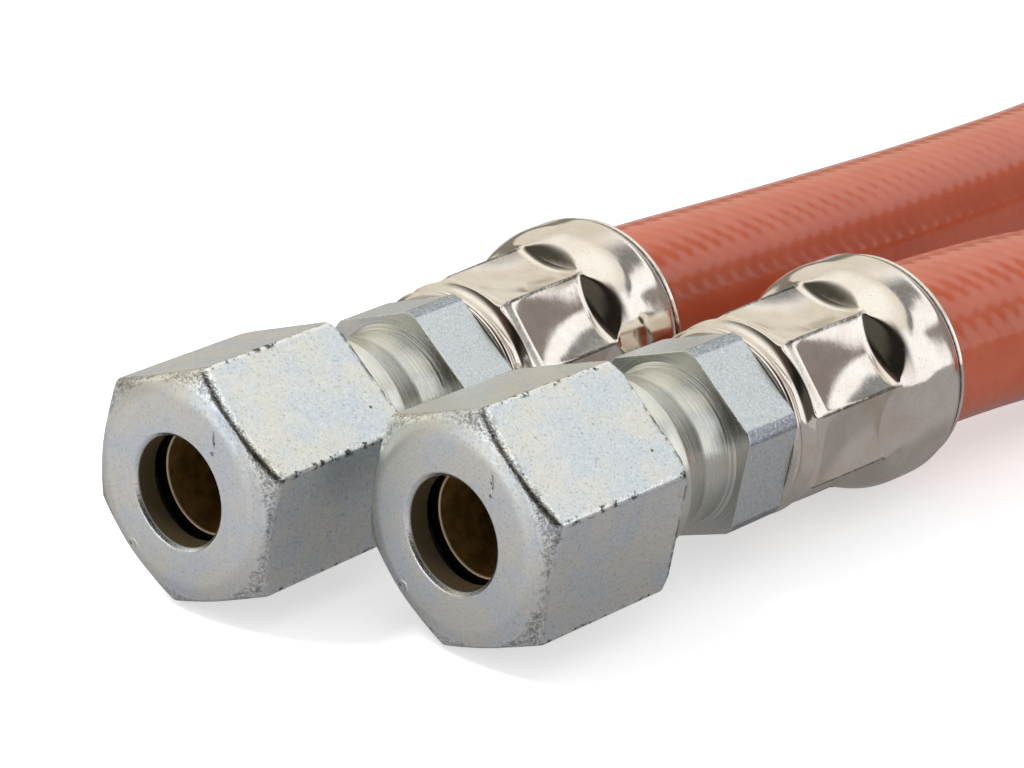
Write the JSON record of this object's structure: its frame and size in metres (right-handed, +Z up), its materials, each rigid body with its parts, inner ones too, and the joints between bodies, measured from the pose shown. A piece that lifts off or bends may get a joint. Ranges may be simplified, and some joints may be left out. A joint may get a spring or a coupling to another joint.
{
  "type": "flexible gas hose",
  "caption": "Braided rubber gas hose with a crimped steel nipple, cutting ring and hexagonal union nut on each end, looped round with its ends side by side.",
  "frame": {"origin": "under the middle of the two fittings, on the surface they lie on", "axes": "+Y from the nuts towards the hose, along end A's axis; +Z up; +X across, from end B to end A"},
  "size_m": [0.1366, 0.2639, 0.0192],
  "materials": {
    "zinc_steel": "bright zinc plate, satin and finely speckled",
    "turned_steel": "bright zinc plate over fine turning marks",
    "nickel_steel": "warm polished nickel plate",
    "brass": "dull turned brass",
    "rubber": "smooth orange-red rubber with the braid showing through"
  },
  "bodies": {
    "hose_assembly": {"hose": "rubber", "hose_nipple_a": "turned_steel", "crimp_ferrule_a": "nickel_steel", "hose_nipple_b": "turned_steel", "crimp_ferrule_b": "nickel_steel"},
    "ring_a": {"cutting_ring_a": "brass"},
    "nut_a": {"union_nut_a": "zinc_steel"},
    "ring_b": {"cutting_ring_b": "brass"},
    "nut_b": {"union_nut_b": "zinc_steel"}
  },
  "joints": [
    {"name": "ring_slide_a", "type": "slide", "parent": "hose_assembly", "child": "ring_a", "axis": [0, -1, 0], "range_m": [0, 0.0075]},
    {"name": "nut_spin_a", "type": "hinge", "parent": "ring_a", "child": "nut_a", "pos_m": [0.01112, -0.01986, 0.0096], "axis": [0, -1, 0], "range_deg": [0, 1800]},
    {"name": "ring_slide_b", "type": "slide", "parent": "hose_assembly", "child": "ring_b", "axis": [0.061, -0.9981, 0], "range_m": [0, 0.0075]},
    {"name": "nut_spin_b", "type": "hinge", "parent": "ring_b", "child": "nut_b", "pos_m": [-0.00842, -0.02786, 0.0096], "axis": [0.061, -0.9981, 0], "range_deg": [0, 1800]}
  ],
  "couplings": [
    {"joint": "ring_slide_a", "follows": "nut_spin_a", "m_per_rad": 0.00023873},
    {"joint": "ring_slide_b", "follows": "nut_spin_b", "m_per_rad": 0.00023873}
  ]
}
